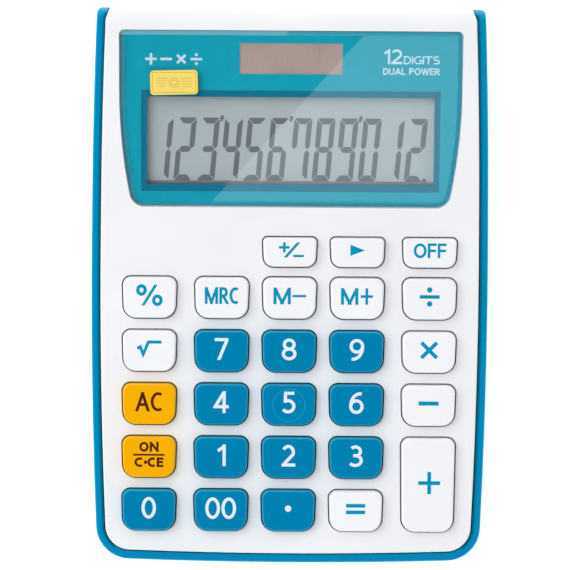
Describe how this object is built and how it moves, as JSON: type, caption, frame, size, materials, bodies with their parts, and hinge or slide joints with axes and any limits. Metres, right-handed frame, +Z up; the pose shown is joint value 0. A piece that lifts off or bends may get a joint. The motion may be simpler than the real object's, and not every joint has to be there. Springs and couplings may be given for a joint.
{
  "type": "desk calculator",
  "caption": "Compact desk calculator: white sloped deck in a blue tray, clear display lens with solar cell, and rows of sprung push keys.",
  "frame": {"origin": "middle of the footprint, on the surface that the four rubber feet stand on", "axes": "+Z up, +Y from the user towards the display end, +X to the user's right"},
  "size_m": [0.086, 0.12, 0.0262],
  "materials": {
    "white_cover": "fine satin",
    "blue_tray": "fine satin",
    "clear_lens": "polished clear",
    "teal_print": "printed film, smooth",
    "gold_foil": "embossed foil",
    "bezel": "satin",
    "lcd_film": "clear film",
    "lcd_glass": "polished",
    "reflector": "diffuse foil",
    "strip_rubber": "matt",
    "solar": "smooth, striped",
    "circuit_board": "solder resist",
    "mat_rubber": "matt translucent",
    "epoxy": "cast drop",
    "capacitor_sleeve": "shrink sleeve",
    "resistor_body": "matt",
    "ribbon": "ribbed",
    "wire_sleeve": "smooth",
    "cell_steel": "brushed",
    "contact_metal": "nickel plated spring",
    "screw_steel": "zinc plated",
    "foot_rubber": "matt",
    "blue_keys": "satin",
    "yellow_keys": "satin",
    "white_keys": "satin"
  },
  "bodies": {
    "case": {"top_shell": "white_cover", "bottom_shell": "blue_tray", "display_lens": "clear_lens", "display_print": "teal_print", "foil_seal": "gold_foil", "display_bezel": "bezel", "lcd_front_film": "lcd_film", "lcd_front_glass": "lcd_glass", "lcd_rear_glass": "lcd_glass", "lcd_reflector": "reflector", "contact_strip": "strip_rubber", "solar_cell": "solar", "display_board": "circuit_board", "main_board": "circuit_board", "keypad_mat": "mat_rubber", "keypad_domes": "mat_rubber", "chip_cover": "epoxy", "capacitor": "capacitor_sleeve", "resistors": "resistor_body", "ribbon_cable": "ribbon", "solar_wires": "wire_sleeve", "battery_wires": "wire_sleeve", "battery_cell": "cell_steel", "contact_side": "contact_metal", "contact_top": "contact_metal", "case_screws": "screw_steel", "board_screws": "screw_steel", "display_screws": "screw_steel", "foot_front_left": "foot_rubber", "foot_front_right": "foot_rubber", "foot_rear_left": "foot_rubber", "foot_rear_right": "foot_rubber"},
    "battery_door": {"battery_door": "blue_tray"},
    "key_0": {"key_0": "blue_keys"},
    "key_00": {"key_00": "blue_keys"},
    "key_point": {"key_point": "blue_keys"},
    "key_1": {"key_1": "blue_keys"},
    "key_2": {"key_2": "blue_keys"},
    "key_3": {"key_3": "blue_keys"},
    "key_4": {"key_4": "blue_keys"},
    "key_5": {"key_5": "blue_keys"},
    "key_6": {"key_6": "blue_keys"},
    "key_7": {"key_7": "blue_keys"},
    "key_8": {"key_8": "blue_keys"},
    "key_9": {"key_9": "blue_keys"},
    "key_all_clear": {"key_all_clear": "yellow_keys"},
    "key_on_clear": {"key_on_clear": "yellow_keys"},
    "key_plus_minus": {"key_plus_minus": "white_keys"},
    "key_backspace": {"key_backspace": "white_keys"},
    "key_off": {"key_off": "white_keys"},
    "key_percent": {"key_percent": "white_keys"},
    "key_memory_recall": {"key_memory_recall": "white_keys"},
    "key_memory_minus": {"key_memory_minus": "white_keys"},
    "key_memory_plus": {"key_memory_plus": "white_keys"},
    "key_divide": {"key_divide": "white_keys"},
    "key_square_root": {"key_square_root": "white_keys"},
    "key_multiply": {"key_multiply": "white_keys"},
    "key_minus": {"key_minus": "white_keys"},
    "key_plus": {"key_plus": "white_keys"},
    "key_equals": {"key_equals": "white_keys"}
  },
  "joints": [
    {"name": "key_0_press", "type": "slide", "parent": "case", "child": "key_0", "axis": [0, 0.0872, -0.9962], "range_m": [0, 0.0012], "stiffness_N_per_m": 300, "springref_m": -0.0006, "deforming": ["keypad_domes"]},
    {"name": "key_00_press", "type": "slide", "parent": "case", "child": "key_00", "axis": [0, 0.0872, -0.9962], "range_m": [0, 0.0012], "stiffness_N_per_m": 300, "springref_m": -0.0006, "deforming": ["keypad_domes"]},
    {"name": "key_point_press", "type": "slide", "parent": "case", "child": "key_point", "axis": [0, 0.0872, -0.9962], "range_m": [0, 0.0012], "stiffness_N_per_m": 300, "springref_m": -0.0006, "deforming": ["keypad_domes"]},
    {"name": "key_1_press", "type": "slide", "parent": "case", "child": "key_1", "axis": [0, 0.0872, -0.9962], "range_m": [0, 0.0012], "stiffness_N_per_m": 300, "springref_m": -0.0006, "deforming": ["keypad_domes"]},
    {"name": "key_2_press", "type": "slide", "parent": "case", "child": "key_2", "axis": [0, 0.0872, -0.9962], "range_m": [0, 0.0012], "stiffness_N_per_m": 300, "springref_m": -0.0006, "deforming": ["keypad_domes"]},
    {"name": "key_3_press", "type": "slide", "parent": "case", "child": "key_3", "axis": [0, 0.0872, -0.9962], "range_m": [0, 0.0012], "stiffness_N_per_m": 300, "springref_m": -0.0006, "deforming": ["keypad_domes"]},
    {"name": "key_4_press", "type": "slide", "parent": "case", "child": "key_4", "axis": [0, 0.0872, -0.9962], "range_m": [0, 0.0012], "stiffness_N_per_m": 300, "springref_m": -0.0006, "deforming": ["keypad_domes"]},
    {"name": "key_5_press", "type": "slide", "parent": "case", "child": "key_5", "axis": [0, 0.0872, -0.9962], "range_m": [0, 0.0012], "stiffness_N_per_m": 300, "springref_m": -0.0006, "deforming": ["keypad_domes"]},
    {"name": "key_6_press", "type": "slide", "parent": "case", "child": "key_6", "axis": [0, 0.0872, -0.9962], "range_m": [0, 0.0012], "stiffness_N_per_m": 300, "springref_m": -0.0006, "deforming": ["keypad_domes"]},
    {"name": "key_7_press", "type": "slide", "parent": "case", "child": "key_7", "axis": [0, 0.0872, -0.9962], "range_m": [0, 0.0012], "stiffness_N_per_m": 300, "springref_m": -0.0006, "deforming": ["keypad_domes"]},
    {"name": "key_8_press", "type": "slide", "parent": "case", "child": "key_8", "axis": [0, 0.0872, -0.9962], "range_m": [0, 0.0012], "stiffness_N_per_m": 300, "springref_m": -0.0006, "deforming": ["keypad_domes"]},
    {"name": "key_9_press", "type": "slide", "parent": "case", "child": "key_9", "axis": [0, 0.0872, -0.9962], "range_m": [0, 0.0012], "stiffness_N_per_m": 300, "springref_m": -0.0006, "deforming": ["keypad_domes"]},
    {"name": "key_all_clear_press", "type": "slide", "parent": "case", "child": "key_all_clear", "axis": [0, 0.0872, -0.9962], "range_m": [0, 0.0012], "stiffness_N_per_m": 300, "springref_m": -0.0006, "deforming": ["keypad_domes"]},
    {"name": "key_on_clear_press", "type": "slide", "parent": "case", "child": "key_on_clear", "axis": [0, 0.0872, -0.9962], "range_m": [0, 0.0012], "stiffness_N_per_m": 300, "springref_m": -0.0006, "deforming": ["keypad_domes"]},
    {"name": "key_plus_minus_press", "type": "slide", "parent": "case", "child": "key_plus_minus", "axis": [0, 0.0872, -0.9962], "range_m": [0, 0.0012], "stiffness_N_per_m": 300, "springref_m": -0.0006, "deforming": ["keypad_domes"]},
    {"name": "key_backspace_press", "type": "slide", "parent": "case", "child": "key_backspace", "axis": [0, 0.0872, -0.9962], "range_m": [0, 0.0012], "stiffness_N_per_m": 300, "springref_m": -0.0006, "deforming": ["keypad_domes"]},
    {"name": "key_off_press", "type": "slide", "parent": "case", "child": "key_off", "axis": [0, 0.0872, -0.9962], "range_m": [0, 0.0012], "stiffness_N_per_m": 300, "springref_m": -0.0006, "deforming": ["keypad_domes"]},
    {"name": "key_percent_press", "type": "slide", "parent": "case", "child": "key_percent", "axis": [0, 0.0872, -0.9962], "range_m": [0, 0.0012], "stiffness_N_per_m": 300, "springref_m": -0.0006, "deforming": ["keypad_domes"]},
    {"name": "key_memory_recall_press", "type": "slide", "parent": "case", "child": "key_memory_recall", "axis": [0, 0.0872, -0.9962], "range_m": [0, 0.0012], "stiffness_N_per_m": 300, "springref_m": -0.0006, "deforming": ["keypad_domes"]},
    {"name": "key_memory_minus_press", "type": "slide", "parent": "case", "child": "key_memory_minus", "axis": [0, 0.0872, -0.9962], "range_m": [0, 0.0012], "stiffness_N_per_m": 300, "springref_m": -0.0006, "deforming": ["keypad_domes"]},
    {"name": "key_memory_plus_press", "type": "slide", "parent": "case", "child": "key_memory_plus", "axis": [0, 0.0872, -0.9962], "range_m": [0, 0.0012], "stiffness_N_per_m": 300, "springref_m": -0.0006, "deforming": ["keypad_domes"]},
    {"name": "key_divide_press", "type": "slide", "parent": "case", "child": "key_divide", "axis": [0, 0.0872, -0.9962], "range_m": [0, 0.0012], "stiffness_N_per_m": 300, "springref_m": -0.0006, "deforming": ["keypad_domes"]},
    {"name": "key_square_root_press", "type": "slide", "parent": "case", "child": "key_square_root", "axis": [0, 0.0872, -0.9962], "range_m": [0, 0.0012], "stiffness_N_per_m": 300, "springref_m": -0.0006, "deforming": ["keypad_domes"]},
    {"name": "key_multiply_press", "type": "slide", "parent": "case", "child": "key_multiply", "axis": [0, 0.0872, -0.9962], "range_m": [0, 0.0012], "stiffness_N_per_m": 300, "springref_m": -0.0006, "deforming": ["keypad_domes"]},
    {"name": "key_minus_press", "type": "slide", "parent": "case", "child": "key_minus", "axis": [0, 0.0872, -0.9962], "range_m": [0, 0.0012], "stiffness_N_per_m": 300, "springref_m": -0.0006, "deforming": ["keypad_domes"]},
    {"name": "key_plus_press", "type": "slide", "parent": "case", "child": "key_plus", "axis": [0, 0.0872, -0.9962], "range_m": [0, 0.0012], "stiffness_N_per_m": 300, "springref_m": -0.0006, "deforming": ["keypad_domes"]},
    {"name": "key_equals_press", "type": "slide", "parent": "case", "child": "key_equals", "axis": [0, 0.0872, -0.9962], "range_m": [0, 0.0012], "stiffness_N_per_m": 300, "springref_m": -0.0006, "deforming": ["keypad_domes"]},
    {"name": "battery_door_slide", "type": "slide", "parent": "case", "child": "battery_door", "axis": [0, 1, 0], "range_m": [0, 0.024]}
  ]
}
